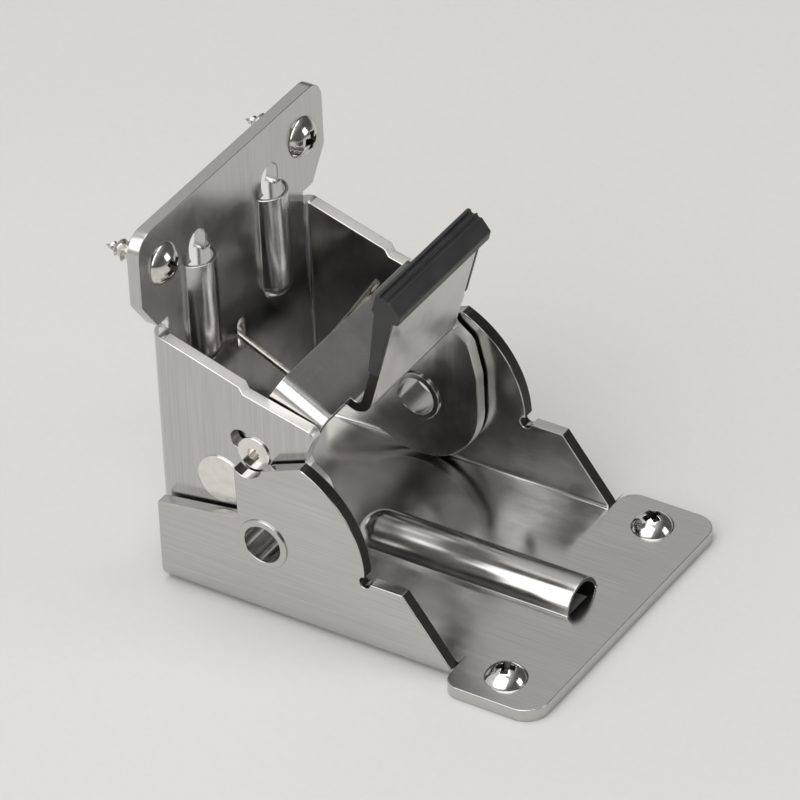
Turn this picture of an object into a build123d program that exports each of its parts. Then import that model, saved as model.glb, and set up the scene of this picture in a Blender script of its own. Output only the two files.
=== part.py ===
from build123d import *
from math import asin, atan2, cos, degrees, hypot, pi, radians, sin, sqrt
import os

os.makedirs("parts", exist_ok=True)

# Self-locking folding bracket, in millimetres.
# The origin is the foot of the pivot axis on the board: Z = 0 is the face on the board, Y = 0 is the
# middle plane, and the beam face is at X = -beam_distance. The leg bracket stands upright, locked.

# Sheets and the widths they fit in
base_sheet = 2.5
leg_sheet = 2.5
lever_sheet = 2.0
base_width = 56.4
cheek_gap = 0.6
lever_gap = 0.3
bend_radius = 0.8
slip = 0.05

# Main pivot
pivot_height = 16.2
beam_distance = 24.1
rivet_radius = 4.3
rivet_bore_radius = 3.7
rivet_flange_radius = 5.0
rivet_flange_thickness = 0.4
washer_radius = 6.4

# Base bracket
base_rear_gap = 1.9
cheek_arc_radius = 21.0
cheek_arc_top_angle = 66
cheek_rear_height = 17.5
cheek_step_height = 15.3
cheek_step_end = 28.7
cheek_toe = 38.2
relief_radius = 1.1
seat_front_angle = -15
seat_rear_angle = -140
floor_length = 57.7
flange_width = 64.0
flange_corner_radius = 4.5
flange_rear_radius = 3.4

# Pressed ribs
floor_rib_radius = 5.3
floor_rib_start = 7.0
floor_rib_setback = 9.8
plate_rib_radius = 4.1
plate_rib_spacing = 23.2
plate_rib_top_drop = 13.6
plate_rib_length = 22.8
rib_wall = 0.8
rib_lift = 1.5

# Leg bracket
plate_height = 74.0
plate_bottom = 12.0
ear_width = 58.8
ear_bottom = 60.0
ear_corner_radius = 4.0
leg_cheek_rear_height = 51.3
leg_cheek_front = (10.3, 41.2)
leg_cheek_step = (-5.3, 46.3)
leg_cheek_step_drop = 1.4
leg_cheek_notch = (7.4, 34.3)
leg_cheek_brow = (11.4, 31.2)
leg_cheek_front_top = 24.0
leg_cheek_front_radius = 1.5
leg_cheek_notch_radius = 2.0
leg_cheek_brow_radius = 2.5
leg_cheek_top_radius = 5.0
leg_swing_radius = 13.0
leg_swing_end_angle = -120
mouth_width = 5.2
mouth_height = 6.2
hook_slot_width = 2.2
hook_slot_height = 6.0
hook_height = 36.6

# Lock lever and its pins
lever_pin_at = (-10.2, 24.8)
lever_pin_radius = 2.5
lever_pin_head_radius = 4.8
lock_pin_at = (-2.8, 33.0)
lock_pin_radius = 2.0
lock_pin_head_radius = 3.3
lock_pin_centre_radius = 1.2
pin_head_thickness = 0.35
head_clearance = 0.3
lever_travel = 17
slot_margin_angle = 0.5
lever_eye_radius = 5.4
web_back = (1.0, 47.6)
web_angle = -28
web_length = 10.8
web_corner_radius = 3.0
web_skirt = 6.0
tab_angle = 74
tab_run = 14.2
tab_height = 25.0
tab_width = 28.0
tab_bend_radius = 2.2

# Grip
grip_length = 30.0
grip_depth = 5.6
grip_height = 4.4
grip_front_wall = 1.3
grip_cover = 2.9
grip_slope_depth = 2.8
grip_slope_height = 2.1
grip_skirt = 13.0
grip_round = 0.6
groove_radius = 0.5

# Spring and its bushes
wire_radius = 0.6
coil_radius = 3.9
coil_turns = 4
coil_pitch = 1.4
web_arm_over = 2.4
hook_inset = 0.9
bush_wall = 1.1

# Wood screws
screw_radius = 2.0
screw_neck_radius = 1.6
screw_neck_below_sheet = 0.5
screw_length = 12.0
screw_point = 3.0
screw_head_radius = 4.0
screw_head_height = 2.5
screw_clearance = 0.25
recess_width = 1.1
recess_depth = 1.6
base_screw_setback = 10.2
base_screw_inset = 7.0
leg_screw_drop = 8.6
leg_screw_inset = 7.2

# Worked out from the sizes above
base_inner = base_width / 2 - base_sheet
leg_outer = base_inner - cheek_gap
leg_inner = leg_outer - leg_sheet
lever_outer = leg_inner - lever_gap
lever_inner = lever_outer - lever_sheet
beam_x = -beam_distance
plate_front = beam_x + leg_sheet
base_rear = beam_x + base_rear_gap
base_screw_x = floor_length - base_screw_setback
base_screw_spacing = flange_width - 2 * base_screw_inset
leg_screw_height = plate_height - leg_screw_drop
leg_screw_spacing = ear_width - 2 * leg_screw_inset
floor_rib_end = floor_length - floor_rib_setback
plate_rib_top = plate_height - plate_rib_top_drop
plate_rib_bottom = plate_rib_top - plate_rib_length
screw_neck_length = base_sheet + screw_neck_below_sheet
pin_reach = hypot(lock_pin_at[0] - lever_pin_at[0], lock_pin_at[1] - lever_pin_at[1])
pin_bearing = degrees(atan2(lock_pin_at[1] - lever_pin_at[1], lock_pin_at[0] - lever_pin_at[0]))
web_direction = (cos(radians(web_angle)), sin(radians(web_angle)))
tab_direction = (cos(radians(tab_angle)), sin(radians(tab_angle)))


def side_plane(y):
    """A plane seen from -Y, with x to the right and z up, whose normal points to -Y."""
    return Plane(origin=(0, y, 0), x_dir=(1, 0, 0), z_dir=(0, -1, 0))


def on_arc(centre, radius, angle):
    return (centre[0] + radius * cos(radians(angle)), centre[1] + radius * sin(radians(angle)))


def press_rib(start, radius, length):
    """Adds a hollow rib to the open part: closed and round at start, open at its far end."""
    for size, mode in ((radius, Mode.ADD), (radius - rib_wall, Mode.SUBTRACT)):
        with BuildSketch(start) as section:
            Circle(size)
        extrude(section.sketch, amount=length, mode=mode)
        with Locations(start):
            Sphere(size, mode=mode)


pivot = (0, pivot_height)
seat_radius = lock_pin_head_radius + slip

# Base bracket: a folded channel trimmed to the cheek outline, the flange, then the rib and the holes
with BuildPart() as base_bracket:
    with BuildSketch(Plane.YZ.offset(base_rear)):
        with Locations((0, cheek_arc_radius + pivot_height)):
            Rectangle(base_width, 2 * (cheek_arc_radius + pivot_height))
        with Locations((0, cheek_arc_radius + pivot_height + base_sheet)):
            Rectangle(2 * base_inner, 2 * (cheek_arc_radius + pivot_height), mode=Mode.SUBTRACT)
    extrude(amount=cheek_toe - base_rear)
    floor_bends = base_bracket.edges().filter_by(Axis.X).group_by(Axis.Z)
    fillet(floor_bends[1], bend_radius)
    fillet(floor_bends[0], bend_radius + base_sheet)

    with BuildSketch(side_plane(0)):
        with BuildLine():
            seat_start = on_arc(lock_pin_at, seat_radius, seat_front_angle)
            seat_end = on_arc(lock_pin_at, seat_radius, seat_rear_angle)
            past_lever_pin = lever_pin_at[0] + lever_pin_head_radius + head_clearance
            below_lever_pin = (past_lever_pin, cheek_rear_height + base_sheet)
            front_arc = CenterArc(pivot, cheek_arc_radius, 0, cheek_arc_top_angle)
            arc_foot = (cheek_arc_radius, cheek_step_height)
            Line(front_arc @ 0, arc_foot)
            Polyline(
                arc_foot, (cheek_step_end, cheek_step_height), (cheek_toe, base_sheet), (cheek_toe, 0),
                (base_rear, 0), (base_rear, cheek_rear_height), below_lever_pin, seat_end,
            )
            seat_bottom = on_arc(lock_pin_at, seat_radius, (seat_front_angle + seat_rear_angle) / 2)
            ThreePointArc(seat_end, seat_bottom, seat_start)
            Line(seat_start, front_arc @ 1)
        make_face()
        with Locations((cheek_arc_radius, cheek_step_height)):
            Circle(relief_radius, mode=Mode.SUBTRACT)
    extrude(amount=base_width, both=True, mode=Mode.INTERSECT)

    with BuildSketch(Plane.XY):
        with Locations(((cheek_toe + floor_length) / 2, 0)):
            Rectangle(floor_length - cheek_toe, flange_width)
        fillet(vertices().group_by(Axis.X)[-1], flange_corner_radius)
        fillet(vertices().group_by(Axis.X)[0], flange_rear_radius)
    extrude(amount=base_sheet)

    rib_start = Plane(origin=(floor_rib_start, 0, rib_lift), x_dir=(0, 1, 0), z_dir=(1, 0, 0))
    press_rib(rib_start, floor_rib_radius, floor_rib_end - floor_rib_start)
    split(bisect_by=Plane.XY, keep=Keep.TOP)

    with BuildSketch(side_plane(0)):
        with Locations(pivot):
            Circle(rivet_radius)
    extrude(amount=base_width, both=True, mode=Mode.SUBTRACT)
    with Locations(Plane.XY.offset(base_sheet)):
        with Locations((base_screw_x, base_screw_spacing / 2), (base_screw_x, -base_screw_spacing / 2)):
            Hole(screw_radius + screw_clearance)
base_bracket.part.label = "base_bracket"
export_step(base_bracket.part, "parts/base_bracket.step")

# Leg bracket: an upright channel trimmed to the cheek outline, the plate with its ears, ribs and holes
with BuildPart() as leg_bracket:
    channel_depth = leg_swing_radius - beam_x
    channel_foot = pivot_height - leg_swing_radius
    with BuildSketch(Plane.XY.offset(channel_foot)):
        with Locations((beam_x + channel_depth / 2, 0)):
            Rectangle(channel_depth, 2 * leg_outer)
        with Locations((plate_front + channel_depth / 2, 0)):
            Rectangle(channel_depth, 2 * leg_inner, mode=Mode.SUBTRACT)
    extrude(amount=leg_cheek_rear_height - channel_foot)
    plate_bends = leg_bracket.edges().filter_by(Axis.Z).group_by(Axis.X)
    fillet(plate_bends[1], bend_radius)
    fillet(plate_bends[0], bend_radius + leg_sheet)

    with BuildSketch(side_plane(0)):
        with BuildLine():
            swing = CenterArc(pivot, leg_swing_radius, 0, leg_swing_end_angle)
            step_foot = (
                leg_cheek_step[0] + leg_cheek_step_drop / 2,
                leg_cheek_step[1] - leg_cheek_step_drop,
            )
            Polyline(
                swing @ 1, (beam_x, plate_bottom), (beam_x, leg_cheek_rear_height),
                (plate_front, leg_cheek_rear_height), leg_cheek_step, step_foot, leg_cheek_front,
                leg_cheek_notch, leg_cheek_brow, (leg_swing_radius, leg_cheek_front_top), swing @ 0,
            )
        make_face()
        fillet(vertices().sort_by_distance(leg_cheek_front)[0], leg_cheek_front_radius)
        fillet(vertices().sort_by_distance(leg_cheek_notch)[0], leg_cheek_notch_radius)
        fillet(vertices().sort_by_distance(leg_cheek_brow)[0], leg_cheek_brow_radius)
        cheek_top = vertices().sort_by_distance((leg_swing_radius, leg_cheek_front_top))[0]
        fillet(cheek_top, leg_cheek_top_radius)
    extrude(amount=leg_outer, both=True, mode=Mode.INTERSECT)

    with BuildSketch(Plane.YZ.offset(beam_x)):
        with BuildLine():
            neck = leg_outer - bend_radius - leg_sheet
            ear_foot = leg_cheek_rear_height + leg_sheet
            Polyline(
                (0, leg_cheek_rear_height), (neck, leg_cheek_rear_height), (neck, ear_foot),
                (leg_outer, ear_foot), (ear_width / 2, ear_bottom), (ear_width / 2, plate_height),
                (0, plate_height),
            )
            mirror(about=Plane.YZ)
        make_face()
        fillet(vertices().group_by(Axis.Y)[-1].sort_by(Axis.X)[0], ear_corner_radius)
        fillet(vertices().group_by(Axis.Y)[-1].sort_by(Axis.X)[-1], ear_corner_radius)
    extrude(amount=leg_sheet)

    for y in (-plate_rib_spacing / 2, plate_rib_spacing / 2):
        rib_foot = Plane(origin=(beam_x + rib_lift, y, plate_rib_bottom + plate_rib_radius))
        press_rib(rib_foot, plate_rib_radius, plate_rib_top - rib_foot.origin.Z)
    split(bisect_by=Plane.YZ.offset(beam_x), keep=Keep.TOP)

    with BuildSketch(Plane.YZ.offset(beam_x)):
        mouth_at = plate_rib_top + mouth_height / 2 - rib_wall
        with Locations((-plate_rib_spacing / 2, mouth_at), (plate_rib_spacing / 2, mouth_at)):
            SlotOverall(mouth_height, mouth_width, rotation=90)
        with Locations((0, hook_height)):
            SlotOverall(hook_slot_height, hook_slot_width, rotation=90)
        with GridLocations(leg_screw_spacing, 0, 2, 1):
            with Locations((0, leg_screw_height)):
                Circle(screw_radius + screw_clearance)
    extrude(amount=leg_sheet, mode=Mode.SUBTRACT)

    with BuildSketch(side_plane(0)):
        with Locations(pivot):
            Circle(rivet_radius + slip)
        with Locations(lever_pin_at):
            Circle(lever_pin_radius)
        with BuildLine(mode=Mode.PRIVATE) as pin_path:
            slot_start_angle = pin_bearing - slot_margin_angle
            CenterArc(lever_pin_at, pin_reach, slot_start_angle, lever_travel + 2 * slot_margin_angle)
        SlotArc(pin_path.wire(), 2 * (lock_pin_radius + slip))
    extrude(amount=base_width, both=True, mode=Mode.SUBTRACT)
leg_bracket.part.label = "leg_bracket"
export_step(leg_bracket.part, "parts/leg_bracket.step")

# Lock lever: a folded web with two flanges that swing on the lever pin, and the tab that carries the grip
web_normal = (-web_direction[1], web_direction[0])
web_middle = (
    web_back[0] - web_normal[0] * lever_sheet / 2,
    web_back[1] - web_normal[1] * lever_sheet / 2,
)
tab_foot = (web_middle[0] + web_direction[0] * tab_run, web_middle[1] + web_direction[1] * tab_run)
tab_top = (tab_foot[0] + tab_direction[0] * tab_height, tab_foot[1] + tab_direction[1] * tab_height)
with BuildPart() as lock_lever:
    web_plane = Plane(
        origin=(web_back[0], 0, web_back[1]), x_dir=(0, 1, 0), z_dir=(web_direction[0], 0, web_direction[1])
    )
    with BuildSketch(web_plane):
        with Locations((0, -web_skirt / 2)):
            Rectangle(2 * lever_outer, web_skirt)
        fillet(vertices().group_by(Axis.Y)[-1], web_corner_radius)
        with BuildSketch(mode=Mode.SUBTRACT):
            with Locations((0, -lever_sheet - web_skirt / 2)):
                Rectangle(2 * lever_inner, web_skirt)
            fillet(vertices().group_by(Axis.Y)[-1], web_corner_radius - lever_sheet)
    extrude(amount=web_length)

    with BuildSketch(side_plane(-lever_inner)):
        with Locations(lever_pin_at):
            Circle(lever_eye_radius)
        with Locations(lock_pin_at):
            Circle(lever_eye_radius - lever_sheet / 2)
        skirt_drop = (web_corner_radius + web_skirt) / 2
        skirt_middle = (
            web_back[0] - web_normal[0] * skirt_drop + web_direction[0] * web_length / 2,
            web_back[1] - web_normal[1] * skirt_drop + web_direction[1] * web_length / 2,
        )
        with Locations(skirt_middle):
            Rectangle(web_length, web_skirt - web_corner_radius, rotation=web_angle)
        make_hull()
        with Locations(lever_pin_at):
            Circle(lever_pin_radius + slip, mode=Mode.SUBTRACT)
        with Locations(lock_pin_at):
            Circle(lock_pin_radius, mode=Mode.SUBTRACT)
    flange = extrude(amount=lever_sheet)
    mirror(flange, about=Plane.XZ)

    with BuildSketch(side_plane(0)):
        with BuildLine():
            FilletPolyline(web_middle, tab_foot, tab_top, radius=tab_bend_radius)
        trace(line_width=lever_sheet)
    extrude(amount=tab_width / 2, both=True)
lock_lever.part.label = "lock_lever"
export_step(lock_lever.part, "parts/lock_lever.step")

# Grip: a chamfered bar with two grooves, pushed over the top of the tab, with a tapered skirt down each side
grip_plane = Plane(
    origin=(tab_top[0], 0, tab_top[1]), x_dir=(tab_direction[1], 0, -tab_direction[0]), z_dir=(0, -1, 0)
)
grip_front = lever_sheet / 2 + grip_front_wall
with BuildPart() as lever_grip:
    with BuildSketch(grip_plane):
        with BuildLine():
            slope_foot = (grip_front, grip_cover - grip_slope_height)
            slope_top = (grip_front - grip_slope_depth, grip_cover)
            Polyline(
                slope_foot, slope_top, (grip_front - grip_depth, grip_cover),
                (grip_front - grip_depth, grip_cover - grip_height), (grip_front, grip_cover - grip_height),
                close=True,
            )
        make_face()
        fillet(vertices(), grip_round)
        top_middle = ((slope_top[0] + grip_front - grip_depth) / 2, grip_cover)
        with Locations(slope_top, top_middle):
            Circle(groove_radius, mode=Mode.SUBTRACT)
    extrude(amount=grip_length / 2, both=True)
    with BuildSketch(grip_plane.offset(tab_width / 2)):
        with BuildLine():
            skirt_top = grip_cover - grip_height
            Polyline(
                (lever_sheet / 2, skirt_top), (lever_sheet / 2, skirt_top - grip_skirt),
                (-lever_sheet / 2, skirt_top - grip_skirt), (grip_front - grip_depth + grip_round, skirt_top),
                close=True,
            )
        make_face()
    skirt = extrude(amount=(grip_length - tab_width) / 2)
    mirror(skirt, about=Plane.XZ)
    with BuildSketch(grip_plane):
        with Locations((0, -tab_height / 2)):
            Rectangle(lever_sheet, tab_height)
    extrude(amount=tab_width / 2, both=True, mode=Mode.SUBTRACT)
lever_grip.part.label = "lever_grip"
export_step(lever_grip.part, "parts/lever_grip.step")

# Lever pin with flush heads, and the bushes that centre the spring on it
lever_pin_base = Plane(origin=(lever_pin_at[0], 0, lever_pin_at[1]), x_dir=(1, 0, 0), z_dir=(0, 1, 0))
lock_pin_base = Plane(origin=(lock_pin_at[0], 0, lock_pin_at[1]), x_dir=(1, 0, 0), z_dir=(0, 1, 0))


def headed_half_pin(plane, shank_radius, head_radius, head_start, head_end):
    """Turns one half of a pin about the plane's normal, from the middle plane to its flat head."""
    with BuildPart(mode=Mode.PRIVATE) as half:
        with BuildSketch(plane):
            Circle(shank_radius)
        extrude(amount=head_start)
        with BuildSketch(plane.offset(head_start)):
            Circle(head_radius)
        extrude(amount=head_end - head_start)
        fillet(half.edges().sort_by(Axis.Y)[-1], pin_head_thickness / 2)
    return half.part


with BuildPart() as lever_pin:
    add(headed_half_pin(
        lever_pin_base, lever_pin_radius, lever_pin_head_radius, leg_outer, leg_outer + pin_head_thickness
    ))
    mirror(about=Plane.XZ)
lever_pin.part.label = "lever_pin"
export_step(lever_pin.part, "parts/lever_pin.step")

with BuildPart() as lock_pin:
    head_start = leg_outer + slip
    add(headed_half_pin(
        lock_pin_base, lock_pin_radius, lock_pin_head_radius, head_start, head_start + pin_head_thickness
    ))
    with Locations(lock_pin_base.offset(head_start + pin_head_thickness)):
        Hole(lock_pin_centre_radius, depth=lock_pin_radius)
    mirror(about=Plane.XZ)
lock_pin.part.label = "lock_pin"
export_step(lock_pin.part, "parts/lock_pin.step")

# Lever spring: a coil round the lever pin, one arm hooked into the plate, one arm behind the web
plate_arm_end = (beam_x + hook_inset, hook_height)
plate_arm_way = (plate_arm_end[0] - lever_pin_at[0], plate_arm_end[1] - lever_pin_at[1])
web_arm_way = (web_back[0] - lever_pin_at[0], web_back[1] - lever_pin_at[1])
web_arm_offset = coil_radius - wire_radius - slip
plate_arm_reach = hypot(*plate_arm_way)
web_arm_reach = hypot(*web_arm_way)
plate_arm_length = sqrt(plate_arm_reach**2 - coil_radius**2)
web_arm_length = sqrt(web_arm_reach**2 - web_arm_offset**2) + web_arm_over
plate_arm_angle = degrees(atan2(plate_arm_way[1], plate_arm_way[0]) + asin(coil_radius / plate_arm_reach))
web_arm_angle = degrees(atan2(web_arm_way[1], web_arm_way[0]) - asin(web_arm_offset / web_arm_reach))
coil_start_angle = plate_arm_angle - 90
coil_end_angle = web_arm_angle + 90
coil_length = coil_pitch * (coil_turns + ((coil_start_angle - coil_end_angle) % 360) / 360)
coil_start = plate_arm_length * coil_pitch / (2 * pi * coil_radius)
with BuildPart() as lever_spring:
    with BuildLine() as wire:
        coil = Helix(coil_pitch, coil_length, coil_radius)
        plate_arm = Line(coil @ 0 - (coil % 0) * plate_arm_length, coil @ 0)
        Line(coil @ 1, coil @ 1 + (coil % 1) * web_arm_length)
    with BuildSketch(Plane(origin=plate_arm @ 0, z_dir=plate_arm % 0)):
        Circle(wire_radius)
    sweep(path=wire.wire())
coil_plane = Plane(
    origin=(lever_pin_at[0], coil_start, lever_pin_at[1]),
    x_dir=(cos(radians(coil_start_angle)), 0, sin(radians(coil_start_angle))),
    z_dir=(0, 1, 0),
)
lever_spring.part.locate(coil_plane.location)
lever_spring.part.label = "lever_spring"
export_step(lever_spring.part, "parts/lever_spring.step")

# Bushes on the lever pin, one each side of the coil
bush_ends = {
    "left": (-lever_inner + slip, coil_start - wire_radius - slip),
    "right": (coil_start + coil_length + wire_radius + slip, lever_inner - slip),
}
for side, (near_end, far_end) in bush_ends.items():
    with BuildPart() as bush:
        with BuildSketch(lever_pin_base.offset(near_end)):
            Circle(lever_pin_radius + slip + bush_wall)
            Circle(lever_pin_radius + slip, mode=Mode.SUBTRACT)
        extrude(amount=far_end - near_end)
    bush.part.label = f"lever_bush_{side}"
    export_step(bush.part, f"parts/{bush.part.label}.step")

# Pivot rivets: hollow, flared over the base cheek outside and over the leg cheek inside, with a washer
pivot_axis = Axis((0, 0, pivot_height), (0, 1, 0))
pivot_section = Plane(origin=(0, 0, pivot_height), x_dir=(1, 0, 0), z_dir=(0, 0, 1))
flange_inside = leg_inner - slip
flange_outside = base_width / 2
with BuildPart() as pivot_rivet:
    with BuildSketch(pivot_section):
        with BuildLine():
            Polyline(
                (rivet_bore_radius, -flange_outside - rivet_flange_thickness),
                (rivet_flange_radius, -flange_outside - rivet_flange_thickness),
                (rivet_flange_radius, -flange_outside), (rivet_radius, -flange_outside),
                (rivet_radius, -flange_inside), (rivet_flange_radius, -flange_inside),
                (rivet_flange_radius, rivet_flange_thickness - flange_inside),
                (rivet_bore_radius, rivet_flange_thickness - flange_inside), close=True,
            )
        make_face()
        fillet(vertices().group_by(Axis.Y)[0] + vertices().group_by(Axis.Y)[-1], rivet_flange_thickness / 2)
    revolve(axis=pivot_axis)

with BuildPart() as pivot_washer:
    with BuildSketch(side_plane(-leg_outer - slip)):
        with Locations(pivot):
            Circle(washer_radius)
            Circle(rivet_radius + slip, mode=Mode.SUBTRACT)
    extrude(amount=cheek_gap - 2 * slip)

for piece, name in ((pivot_rivet, "pivot_rivet"), (pivot_washer, "pivot_washer")):
    piece.part.label = f"{name}_left"
    export_step(piece.part, f"parts/{name}_left.step")
    with BuildPart() as mirrored:
        mirror(piece.part, about=Plane.XZ)
    mirrored.part.label = f"{name}_right"
    export_step(mirrored.part, f"parts/{name}_right.step")

# Wood screws: a domed head with a cross recess, a plain neck through the sheet, and a pointed shank
with BuildPart() as wood_screw:
    with BuildSketch(Plane.XZ):
        with BuildLine():
            dome_radius = (screw_head_radius**2 + screw_head_height**2) / (2 * screw_head_height)
            Polyline(
                (0, screw_head_height), (0, -screw_length), (screw_radius, screw_point - screw_length),
                (screw_radius, -screw_neck_length), (screw_neck_radius, -screw_neck_length),
                (screw_neck_radius, 0), (screw_head_radius, 0),
            )
            RadiusArc((screw_head_radius, 0), (0, screw_head_height), -dome_radius)
        make_face()
    revolve(axis=Axis.Z)
    with BuildSketch(Plane.XY.offset(screw_head_height - recess_depth)):
        Rectangle(recess_width, screw_head_radius)
        Rectangle(screw_head_radius, recess_width)
    extrude(amount=recess_depth, mode=Mode.SUBTRACT)

board_seat = Plane.XY.offset(base_sheet)
beam_seat = Plane.YZ.offset(plate_front)
screw_seats = {
    "base_screw_left": board_seat.location * Location((base_screw_x, -base_screw_spacing / 2, 0)),
    "base_screw_right": board_seat.location * Location((base_screw_x, base_screw_spacing / 2, 0)),
    "leg_screw_left": beam_seat.location * Location((-leg_screw_spacing / 2, leg_screw_height, 0)),
    "leg_screw_right": beam_seat.location * Location((leg_screw_spacing / 2, leg_screw_height, 0)),
}
for name, seat in screw_seats.items():
    with BuildPart() as screw:
        with Locations(seat):
            add(wood_screw.part)
    screw.part.label = name
    export_step(screw.part, f"parts/{name}.step")
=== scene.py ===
import math

import bmesh
import bpy
from mathutils import Matrix, Vector


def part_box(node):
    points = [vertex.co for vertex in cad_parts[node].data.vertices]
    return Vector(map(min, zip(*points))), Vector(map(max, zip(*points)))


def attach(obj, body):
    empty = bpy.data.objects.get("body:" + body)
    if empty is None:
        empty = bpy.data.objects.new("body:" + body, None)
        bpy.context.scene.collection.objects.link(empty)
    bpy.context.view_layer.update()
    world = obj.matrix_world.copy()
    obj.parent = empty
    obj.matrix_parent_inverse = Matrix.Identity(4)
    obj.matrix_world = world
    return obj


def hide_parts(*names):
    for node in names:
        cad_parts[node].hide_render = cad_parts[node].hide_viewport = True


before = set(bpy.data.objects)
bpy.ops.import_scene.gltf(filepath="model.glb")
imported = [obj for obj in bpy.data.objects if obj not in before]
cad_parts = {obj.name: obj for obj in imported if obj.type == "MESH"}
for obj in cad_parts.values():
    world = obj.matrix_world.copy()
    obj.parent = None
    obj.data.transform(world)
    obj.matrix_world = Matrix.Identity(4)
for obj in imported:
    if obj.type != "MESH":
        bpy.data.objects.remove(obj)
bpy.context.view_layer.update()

MM = 0.001

# The camera stands where the photograph was taken from. It is turned only enough to bring the bracket to
# the middle of the picture, and its longer lens makes the bracket fill the frame.
EYE = Vector((0.62383, -0.91527, 0.83402))
PHOTO_BEARING = math.radians(28.8)
PHOTO_TILT = math.radians(34.32)
PHOTO_LENS = 89.31
SENSOR_WIDTH = 36.0
ENLARGEMENT = 3.9
AIM = Vector((0.0115, 0.0, 0.0335))

# The studio: the way to its window, and its round paper floor in metres
WINDOW_WAY = (-0.60, -0.30, 0.74)
PAPER_RADIUS = 4.0
PAPER_SEGMENTS = 96

# Where the sheets' faces lie, as the part has them
SHEET = 2.5 * MM
CHEEK_INSIDE = 25.7 * MM
RIB_LIFT = 1.5 * MM
RIB_INSIDE = 4.6 * MM
TAB_SIDE = 14.0 * MM
TAB_SIDE_BAND = 0.2 * MM
LEG_INSIDE = 22.6 * MM
PLATE_FRONT = -20.0 * MM

# A face looks straight along an axis when more than the first share of its normal lies along it, and it is
# turned to the axis at all when more than the second share does
ALONG = 0.9
TURNED = 0.3

# Points this close are one, and faces that turn less than this are one flat
SAME_POINT = 0.001 * MM
FLAT_ANGLE = math.radians(0.4)

# Eased edges, the corners that stay sharp in the shading, and how much the flats count in it
EASED_ANGLE = math.radians(50)
SHEET_EASE = 0.16 * MM
GRIP_EASE = 0.2 * MM
CORNER_ANGLE = math.radians(40)
FLATS_WEIGHT = 100

# Wood screws
HEAD_HEIGHT = 2.5 * MM
HEAD_RADIUS = 4.0 * MM
DOME_RADIUS = (HEAD_RADIUS ** 2 + HEAD_HEIGHT ** 2) / (2 * HEAD_HEIGHT)
SCREW_LENGTH = 12.0 * MM
NECK_RADIUS = 1.6 * MM
NECK_LENGTH = 3.0 * MM
NECK_SLOPE = 0.3 * MM
CORE_RADIUS = 1.35 * MM
THREAD_RADIUS = 2.0 * MM
THREAD_ROOT = 1.2 * MM
THREAD_FOOT = 0.9 * MM
THREAD_PITCH = 1.6 * MM
POINT_LENGTH = 3.4 * MM
POINT_SHARE = 0.02
RECESS_SPAN = 5.2 * MM
RECESS_WIDTH = 1.25 * MM
RECESS_DEPTH = 1.9 * MM
RECESS_TAPER = 0.45
RECESS_LIP = 0.1 * MM
SCREW_EASE = 0.14 * MM
SCREW_EASED_ANGLE = math.radians(35)
DOME_STEPS = 14
ROUND_STEPS = 64
THREAD_STEPS = 28

# The middle of a noise, where nearly all of it lies, and how rough its finer octaves are
NOISE_MIDDLE = (0.3, 0.7)
NOISE_ROUGHNESS = 0.55

# The waves to each unit of a wave texture, and how far turning marks wander from true rings
WAVES_A_UNIT = 0.32
RING_WANDER = 0.6

# Tear marks on a cut face are about 0.1 mm wide, and drawn this wide so that they show
TEAR_WIDTH = 0.25 * MM


def linear(hex_colour):
    """The linear colour of an sRGB hex value, with an alpha of 1."""
    channels = [int(hex_colour[i:i + 2], 16) / 255 for i in (1, 3, 5)]
    return [c / 12.92 if c <= 0.04045 else ((c + 0.055) / 1.055) ** 2.4 for c in channels] + [1.0]


def add_node(tree, kind, values=None, links=None, **settings):
    """Adds a node, sets its properties and its sockets' values, and links its sockets to others."""
    node = tree.nodes.new(kind)
    for name, value in settings.items():
        setattr(node, name, value)
    for socket, value in (values or {}).items():
        node.inputs[socket].default_value = value
    for socket, source in (links or {}).items():
        tree.links.new(source, node.inputs[socket])
    return node


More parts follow.
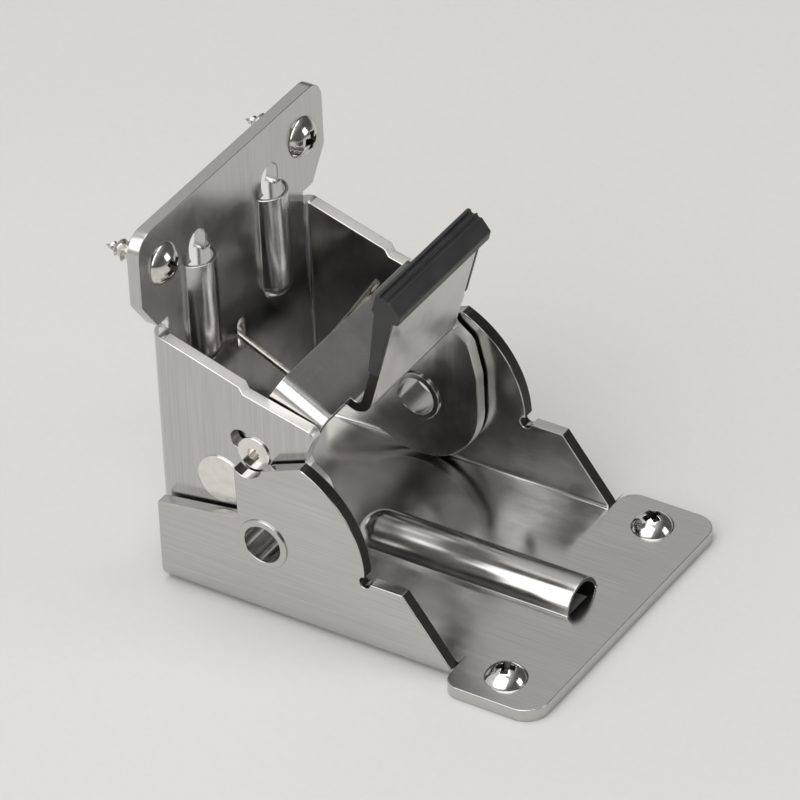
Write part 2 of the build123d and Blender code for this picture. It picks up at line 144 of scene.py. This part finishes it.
def finish(name, layers, tones, dullness, rings=None, **constants):
    """Builds a material from layers of noise.

    Each layer has the size of its spots along x, y and z, its detail, and how deep its relief is. The first
    layer runs between the two tones and the last one between the two degrees of dullness. Rings are turning
    marks round a centre: their centre, spacing and depth. The constants are the surface's own.
    """
    material = bpy.data.materials.new(name)
    material.use_nodes = True
    tree = material.node_tree
    tree.nodes.clear()
    place = add_node(tree, "ShaderNodeTexCoord").outputs["Object"]
    heights = []
    shades = []
    for sizes, detail, depth in layers:
        scale = {"Scale": [1 / size for size in sizes]}
        drawn = add_node(tree, "ShaderNodeMapping", scale, {"Vector": place}).outputs["Vector"]
        noise = {"Scale": 1.0, "Detail": detail, "Roughness": NOISE_ROUGHNESS}
        shades.append(add_node(tree, "ShaderNodeTexNoise", noise, {"Vector": drawn}).outputs["Fac"])
        heights.append((shades[-1], depth))
    if rings:
        centre, spacing, depth = rings
        middle = {"Location": [-value / spacing for value in centre], "Scale": [1 / spacing] * 3}
        centred = add_node(tree, "ShaderNodeMapping", middle, {"Vector": place}).outputs["Vector"]
        marks = add_node(
            tree, "ShaderNodeTexWave", {"Scale": WAVES_A_UNIT, "Distortion": RING_WANDER, "Detail": 1.0},
            {"Vector": centred}, wave_type="RINGS", rings_direction="Y",
        )
        heights.append((marks.outputs["Fac"], depth))

    normal = None
    for height, depth in heights:
        links = {"Height": height, **({"Normal": normal} if normal else {})}
        normal = add_node(tree, "ShaderNodeBump", {"Distance": depth}, links).outputs["Normal"]
    ramp = add_node(tree, "ShaderNodeValToRGB", links={"Fac": shades[0]})
    for element, position, tone in zip(ramp.color_ramp.elements, NOISE_MIDDLE, tones):
        element.position = position
        element.color = linear(tone)
    ends = dict(zip(("From Min", "From Max", "To Min", "To Max"), (*NOISE_MIDDLE, *dullness)))
    dull = add_node(tree, "ShaderNodeMapRange", ends, {"Value": shades[-1]})
    surface = add_node(
        tree, "ShaderNodeBsdfPrincipled", constants,
        {"Base Color": ramp.outputs["Color"], "Roughness": dull.outputs["Result"], "Normal": normal},
    )
    add_node(tree, "ShaderNodeOutputMaterial", links={"Surface": surface.outputs["BSDF"]})
    return material


def satin_nickel_sheet(name, grain_axis):
    """Nickel-plated cold-rolled sheet steel.

    It gives the eye a soft grey mirror. Fine rolling lines smear what it reflects along themselves, long
    shallow waves in the sheet draw that into light and dark streaks, and handling leaves duller patches.
    """
    # Rolling lines are about 0.05 mm apart, and drawn 0.25 mm apart so that they show
    lines = [18 * MM if axis == grain_axis else 0.25 * MM for axis in "xyz"]
    waves = [60 * MM if axis == grain_axis else 6 * MM for axis in "xyz"]
    patches = (8 * MM,) * 3
    layers = ((lines, 3.0, 0.0016 * MM), (waves, 1.0, 0.09 * MM), (patches, 4.0, 0.004 * MM))
    return finish(name, layers, ("#BEBDBB", "#CBCAC8"), (0.13, 0.24), Metallic=1.0)


def painted_shade_edge():
    """Dark matt steel for the base's sheared cheek fronts, the inside of its hollow rib and the sides of the
    lever's tab.

    Its dark tone is painted shade and painted dark reflection. It stands in for the shade in the hollow rib
    and on the tab's sides, and for dark surroundings mirrored in the cheek fronts. Its rough scatter and
    tear marks are the steel's own.
    """
    tears = (((TEAR_WIDTH,) * 3, 4.0, 0.02 * MM),)
    return finish("painted_shade_edge", tears, ("#2E2D2B", "#4B4945"), (0.38, 0.55), Metallic=1.0)


def painted_highlight_edge():
    """A cut face of the sheet that the plating covers all over, toned paler than the sheet's faces.

    The paler tone is a painted highlight that draws a pale line along the edge. The rough plated tear marks
    that scatter the room's light are real.
    """
    tears = (((TEAR_WIDTH,) * 3, 3.0, 0.008 * MM),)
    return finish("painted_highlight_edge", tears, ("#E2E0DC", "#F2F0EC"), (0.36, 0.48), Metallic=1.0)


def turned_nickel(name, centre):
    """Nickel-plated turned steel, with its cutting rings round the pin's axis.

    It gives the eye a bright mirror whose highlight is drawn into short arcs by the rings.
    """
    # Turning marks are about 0.06 mm apart, and drawn 0.22 mm apart so that they show
    rings = (centre, 0.22 * MM, 0.003 * MM)
    wear = (((1.6 * MM,) * 3, 3.0, 0.002 * MM),)
    return finish(name, wear, ("#E0DEDA", "#F0EEEA"), (0.1, 0.22), rings, Metallic=1.0)


def tumbled_nickel():
    """Nickel-plated screw steel, tumbled smooth.

    It gives the eye a clear bright mirror with soft dents.
    """
    dents = (((0.9 * MM,) * 3, 2.0, 0.012 * MM),)
    return finish("tumbled_nickel", dents, ("#CBC9C5", "#DEDCD8"), (0.09, 0.18), Metallic=1.0)


def painted_shade_recess():
    """The walls that the punch leaves in a screw's head.

    Their dark tone is painted shade that draws the cross. Their duller, scored surface is their own.
    """
    scores = (((0.3 * MM,) * 3, 3.0, 0.02 * MM),)
    return finish("painted_shade_recess", scores, ("#35332F", "#5C5A55"), (0.35, 0.5), Metallic=1.0)


def drawn_wire():
    """Bright drawn spring wire.

    It gives the eye a grey sheen with long fine die marks and a faint warm cast from heat setting.
    """
    marks = (((1.2 * MM, 1.2 * MM, 6 * MM), 1.0, 0.0006 * MM),)
    return finish("drawn_wire", marks, ("#B9B5AE", "#CFCBC4"), (0.2, 0.34), Metallic=1.0)


def black_polyamide(name, tones, grit, depth):
    """Moulded black polyamide from a spark-eroded mould.

    It gives the eye a near-black matt skin with a fine even grit that breaks up its highlights, and slightly
    greyer patches where it is handled.
    """
    layers = (((5 * MM,) * 3, 3.0, 0.01 * MM), ((grit,) * 3, 3.0, depth))
    return finish(name, layers, tones, (0.32, 0.5), IOR=1.53)


def matt_paper():
    """Seamless studio paper, pale grey and quite matt, with a hardly visible tooth."""
    tooth = (((1.5 * MM,) * 3, 2.0, 0.01 * MM),)
    return finish("studio_paper", tooth, ("#CFCECB", "#D1D0CD"), (0.85, 0.9))


def as_object(name, mesh):
    """Makes a finished mesh an object of the scene."""
    data = bpy.data.meshes.new(name)
    mesh.to_mesh(data)
    mesh.free()
    made = bpy.data.objects.new(name, data)
    bpy.context.scene.collection.objects.link(made)
    return made


def add_piece(name, mesh, body, materials, node):
    """Makes a finished mesh a piece that rides on its body in the place of a CAD node."""
    piece = as_object(name, mesh)
    for material in materials:
        piece.data.materials.append(material)
    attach(piece, body)
    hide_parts(node)
    return piece


def joined_copy(node):
    """A copy of a CAD node's mesh with its loose triangles joined and its flats made whole."""
    mesh = bmesh.new()
    mesh.from_mesh(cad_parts[node].data)
    bmesh.ops.remove_doubles(mesh, verts=mesh.verts, dist=SAME_POINT)
    bmesh.ops.dissolve_limit(
        mesh, angle_limit=FLAT_ANGLE, verts=mesh.verts, edges=mesh.edges, use_dissolve_boundaries=False,
    )
    return mesh


def ease_edges(mesh, width, segments):
    """Rounds every edge that turns more than the eased angle."""
    sharp = [edge for edge in mesh.edges if edge.is_manifold and edge.calc_face_angle() > EASED_ANGLE]
    bmesh.ops.bevel(
        mesh, geom=sharp, offset=width, offset_type="OFFSET", segments=segments, profile=0.5,
        affect="EDGES", clamp_overlap=False, material=-1,
    )


def smooth_shading(piece):
    """Shades a piece smooth, apart from its corners."""
    for face in piece.data.polygons:
        face.use_smooth = True
    piece.data.set_sharp_from_angle(angle=CORNER_ANGLE)


def keep_flats(piece):
    """Keeps a smooth piece's flats flat, up to their eased edges."""
    flats = piece.modifiers.new("flats", "WEIGHTED_NORMAL")
    flats.keep_sharp = True
    flats.weight = FLATS_WEIGHT


def base_painted_shade(centre, normal):
    """True where the base takes painted shade: the sheared fronts of its cheeks and the inside of its rib.
    """
    on_cheek = abs(centre.y) > CHEEK_INSIDE and abs(normal.y) < TURNED and normal.x > TURNED
    off_axis = Vector((centre.y, centre.z - RIB_LIFT))
    in_rib = off_axis.length < RIB_INSIDE and off_axis.dot(Vector((normal.y, normal.z))) < 0
    return in_rib or (on_cheek and centre.z > SHEET)


def leg_painted_highlight(centre, normal):
    """True where the leg takes a painted highlight: the plated cut faces of its cheeks."""
    return abs(centre.y) > LEG_INSIDE and centre.x > PLATE_FRONT and abs(normal.y) < TURNED


def tab_painted_shade(centre, normal):
    """True where the lever takes painted shade: the sheared sides of its tab."""
    return abs(abs(centre.y) - TAB_SIDE) < TAB_SIDE_BAND and abs(normal.y) > ALONG


def eased_sheet(node, name, body, materials, gets_painted_light):
    """A folded sheet with its cut edges eased, and a second finish, painted shade or a painted highlight, on
    the faces its mask picks.
    """
    mesh = joined_copy(node)
    ease_edges(mesh, SHEET_EASE, 2)
    bmesh.ops.triangulate(mesh, faces=mesh.faces, quad_method="BEAUTY", ngon_method="BEAUTY")
    mesh.normal_update()
    for face in mesh.faces:
        face.material_index = int(gets_painted_light(face.calc_center_median(), face.normal))
    piece = add_piece(name, mesh, body, materials, node)
    smooth_shading(piece)
    keep_flats(piece)


def make_sheets():
    """The three folded sheets. The base is rolled along X, and the leg and the lever along Z."""
    # The dark finish paints shade on the base and the lever, and the leg's pale edge finish paints a
    # highlight
    edge = painted_shade_edge()
    base = satin_nickel_sheet("satin_nickel_base", "x")
    leg = satin_nickel_sheet("satin_nickel_leg", "z")
    lever = satin_nickel_sheet("satin_nickel_lever", "z")
    eased_sheet("base_bracket", "base_folded_sheet", "base", [base, edge], base_painted_shade)
    eased_sheet("leg_bracket", "leg_folded_sheet", "leg", [leg, painted_highlight_edge()], leg_painted_highlight)
    eased_sheet("lock_lever", "lever_folded_sheet", "lever", [lever, edge], tab_painted_shade)


def make_grip():
    """The grip bar, with its mould edges eased."""
    mesh = joined_copy("lever_grip")
    ease_edges(mesh, GRIP_EASE, 3)
    skin = black_polyamide("grip_polyamide", ("#1C1C1D", "#2B2C2B"), 0.22 * MM, 0.03 * MM)
    piece = add_piece("grip_bar", mesh, "lever", [skin], "lever_grip")
    smooth_shading(piece)
    keep_flats(piece)


def dome(mesh):
    """Draws the outline of a screw's head from its top to its rim, and returns the point on the rim."""
    top = mesh.verts.new((0, 0, HEAD_HEIGHT))
    bmesh.ops.spin(
        mesh, geom=[top], cent=(0, 0, HEAD_HEIGHT - DOME_RADIUS), axis=(0, 1, 0),
        angle=math.asin(HEAD_RADIUS / DOME_RADIUS), steps=DOME_STEPS, use_duplicate=False,
    )
    return max(mesh.verts, key=lambda vert: vert.co.x)


def screw_body():
    """The head, the plain neck, the core and the point, spun about Z with the seat at Z = 0."""
    mesh = bmesh.new()
    last = dome(mesh)
    outline = (
        (NECK_RADIUS, 0), (NECK_RADIUS, -NECK_LENGTH), (CORE_RADIUS, -NECK_LENGTH - NECK_SLOPE),
        (CORE_RADIUS, POINT_LENGTH - SCREW_LENGTH), (0, -SCREW_LENGTH),
    )
    for radius, height in outline:
        vert = mesh.verts.new((radius, 0, height))
        mesh.edges.new((last, vert))
        last = vert
    bmesh.ops.spin(
        mesh, geom=mesh.edges[:], cent=(0, 0, 0), axis=(0, 0, 1), angle=math.tau, steps=ROUND_STEPS,
        use_merge=True,
    )
    bmesh.ops.remove_doubles(mesh, verts=mesh.verts, dist=SAME_POINT)
    bmesh.ops.recalc_face_normals(mesh, faces=mesh.faces)
    return mesh


def screw_thread():
    """A ridge that winds round the core and runs out at the point."""
    mesh = bmesh.new()
    start = -NECK_LENGTH - THREAD_FOOT / 2
    low = start - THREAD_FOOT / 2
    high = start + THREAD_FOOT / 2
    corners = ((THREAD_ROOT, low), (THREAD_RADIUS, start), (THREAD_ROOT, high))
    ridge = mesh.faces.new([mesh.verts.new((radius, 0, height)) for radius, height in corners])
    travel = SCREW_LENGTH - NECK_LENGTH - THREAD_FOOT
    steps = round(THREAD_STEPS * travel / THREAD_PITCH)
    bmesh.ops.spin(
        mesh, geom=[ridge], cent=(0, 0, 0), axis=(0, 0, 1), dvec=(0, 0, -travel / steps),
        angle=math.tau * travel / THREAD_PITCH, steps=steps, use_duplicate=False,
    )
    for vert in mesh.verts:
        left = (vert.co.z + SCREW_LENGTH) / POINT_LENGTH
        if left < 1:
            vert.co.xy *= max(left, POINT_SHARE)
    bmesh.ops.recalc_face_normals(mesh, faces=mesh.faces)
    return mesh


def recess_blade(turn):
    """One tapered blade of the cross recess, standing in the top of the head."""
    mesh = bmesh.new()
    bmesh.ops.create_cube(mesh, size=1)
    bmesh.ops.scale(mesh, verts=mesh.verts, vec=(RECESS_SPAN, RECESS_WIDTH, 2 * RECESS_DEPTH))
    bmesh.ops.translate(mesh, verts=mesh.verts, vec=(0, 0, HEAD_HEIGHT))
    for vert in mesh.verts:
        if vert.co.z < HEAD_HEIGHT:
            vert.co.x *= RECESS_TAPER
    bmesh.ops.rotate(mesh, verts=mesh.verts, cent=(0, 0, 0), matrix=Matrix.Rotation(turn, 3, "Z"))
    return mesh


def in_recess(centre):
    """True below the dome's surface, inside the head."""
    reach = math.hypot(centre.x, centre.y)
    surface = HEAD_HEIGHT - DOME_RADIUS + math.sqrt(DOME_RADIUS ** 2 - reach ** 2)
    return 0 < centre.z < surface - RECESS_LIP and reach < RECESS_SPAN / 2


def wood_screw():
    """The mesh of one wood screw: its body with the cross recess cut in, and its thread."""
    body = as_object("screw_body", screw_body())
    blades = [as_object("recess_blade", recess_blade(turn)) for turn in (0, math.pi / 2)]
    for blade in blades:
        cut = body.modifiers.new("recess", "BOOLEAN")
        cut.operation = "DIFFERENCE"
        cut.solver = "EXACT"
        cut.object = blade
    soften = body.modifiers.new("soften", "BEVEL")
    soften.width = SCREW_EASE
    soften.segments = 2
    soften.limit_method = "ANGLE"
    soften.angle_limit = SCREW_EASED_ANGLE
    soften.use_clamp_overlap = False
    mesh = bmesh.new()
    mesh.from_mesh(body.evaluated_get(bpy.context.evaluated_depsgraph_get()).to_mesh())
    # The recess's faces take the second finish, which paints shade in the cross
    for face in mesh.faces:
        face.material_index = int(in_recess(face.calc_center_median()))
    thread = as_object("screw_thread", screw_thread())
    mesh.from_mesh(thread.data)
    for helper in (body, thread, *blades):
        bpy.data.objects.remove(helper)
    return mesh


def place_screws():
    """Puts a screw in the place of each screw node, two through the base and two through the plate."""
    materials = [tumbled_nickel(), painted_shade_recess()]
    pattern = wood_screw()
    # Each screw's node and body, its recess's turn in degrees, and whether it goes through the plate
    places = (
        ("base_screw_left", "base", 20, False), ("base_screw_right", "base", 62, False),
        ("leg_screw_left", "leg", 35, True), ("leg_screw_right", "leg", 78, True),
    )
    for node, body, turn, through_plate in places:
        low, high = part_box(node)
        centre = (low + high) / 2
        mesh = pattern.copy()
        if through_plate:
            way = Matrix.Rotation(math.pi / 2, 4, "Y")
            seat = Vector((low.x + SCREW_LENGTH, centre.y, centre.z))
        else:
            way = Matrix.Identity(4)
            seat = Vector((centre.x, centre.y, low.z + SCREW_LENGTH))
        turned = Matrix.Translation(seat) @ way @ Matrix.Rotation(math.radians(turn), 4, "Z")
        bmesh.ops.transform(mesh, matrix=turned, verts=mesh.verts)
        smooth_shading(add_piece(f"wood_{node}", mesh, body, materials, node))
    pattern.free()


def dress_nodes():
    """Gives the CAD nodes whose shapes stay their finishes."""
    finishes = {"lever_spring": drawn_wire()}
    for pin in ("lever_pin", "lock_pin"):
        low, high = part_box(pin)
        finishes[pin] = turned_nickel(f"turned_nickel_{pin}", (low + high) / 2)
    satin = satin_nickel_sheet("satin_nickel_rivets", "y")
    nylon = black_polyamide("bush_polyamide", ("#232323", "#2C2C2B"), 0.3 * MM, 0.01 * MM)
    for side in ("left", "right"):
        finishes[f"pivot_rivet_{side}"] = satin
        finishes[f"pivot_washer_{side}"] = satin
        finishes[f"lever_bush_{side}"] = nylon
    for node, material in finishes.items():
        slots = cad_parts[node].data.materials
        slots.clear()
        slots.append(material)


def make_room():
    """A pale paper floor, and a room that is brighter towards its window."""
    paper = bmesh.new()
    bmesh.ops.create_circle(paper, cap_ends=True, segments=PAPER_SEGMENTS, radius=PAPER_RADIUS)
    floor = as_object("paper_floor", paper)
    floor.data.materials.append(matt_paper())

    world = bpy.data.worlds.new("studio")
    bpy.context.scene.world = world
    world.use_nodes = True
    tree = world.node_tree
    tree.nodes.clear()
    way = add_node(tree, "ShaderNodeTexCoord").outputs["Generated"]
    # The dot product's two vectors share one name, so they go by their numbers
    nearness = add_node(tree, "ShaderNodeVectorMath", {1: WINDOW_WAY}, {0: way}, operation="DOT_PRODUCT")
    sky = add_node(tree, "ShaderNodeValToRGB", links={"Fac": nearness.outputs["Value"]})
    # How near the window's way the eye looks, and the room's colour there
    colours = {0.0: "#5C5C5C", 0.2: "#7E7E7D", 0.45: "#C2C2C1", 0.9: "#E4E4E2"}
    elements = sky.color_ramp.elements
    while len(elements) < len(colours):
        elements.new(0.5)
    for element, (position, colour) in zip(elements, colours.items()):
        element.position = position
        element.color = linear(colour)
    light = add_node(tree, "ShaderNodeBackground", {"Strength": 1.0}, {"Color": sky.outputs["Color"]})
    add_node(tree, "ShaderNodeOutputWorld", links={"Surface": light.outputs["Background"]})


def make_lamps():
    """Three soft square lamps that face the bracket."""
    # Each lamp's name, its place and the length of its side in metres, and its power in watts
    lamps = (
        ("front_softbox", (-0.05, -0.70, 0.75), 1.2, 6.6),
        ("overhead_lamp", (-0.05, 0.10, 0.85), 0.5, 2.0),
        ("fill_lamp", (0.75, 0.25, 0.35), 0.35, 1.0),
    )
    for name, place, size, power in lamps:
        lamp = bpy.data.lights.new(name, "AREA")
        lamp.shape = "SQUARE"
        lamp.size = size
        lamp.energy = power
        holder = bpy.data.objects.new(name, lamp)
        holder.location = place
        holder.rotation_euler = (AIM - Vector(place)).to_track_quat("-Z", "Y").to_euler()
        bpy.context.scene.collection.objects.link(holder)


def make_camera():
    """The photograph's camera, turned to the bracket, with its picture plane turned no more than that."""
    level = math.cos(PHOTO_TILT)
    photo_way = Vector((
        -math.sin(PHOTO_BEARING) * level, math.cos(PHOTO_BEARING) * level, -math.sin(PHOTO_TILT),
    ))
    photo_turn = photo_way.to_track_quat("-Z", "Y")
    to_bracket = (AIM - EYE).normalized()
    lens = bpy.data.cameras.new("camera")
    lens.sensor_width = SENSOR_WIDTH
    lens.lens = PHOTO_LENS * ENLARGEMENT
    camera = bpy.data.objects.new("camera", lens)
    camera.location = EYE
    camera.rotation_mode = "QUATERNION"
    camera.rotation_quaternion = photo_way.rotation_difference(to_bracket) @ photo_turn
    bpy.context.scene.collection.objects.link(camera)
    bpy.context.scene.camera = camera


bpy.context.scene.view_settings.view_transform = "Standard"
make_camera()
make_room()
make_lamps()
make_sheets()
make_grip()
place_screws()
dress_nodes()
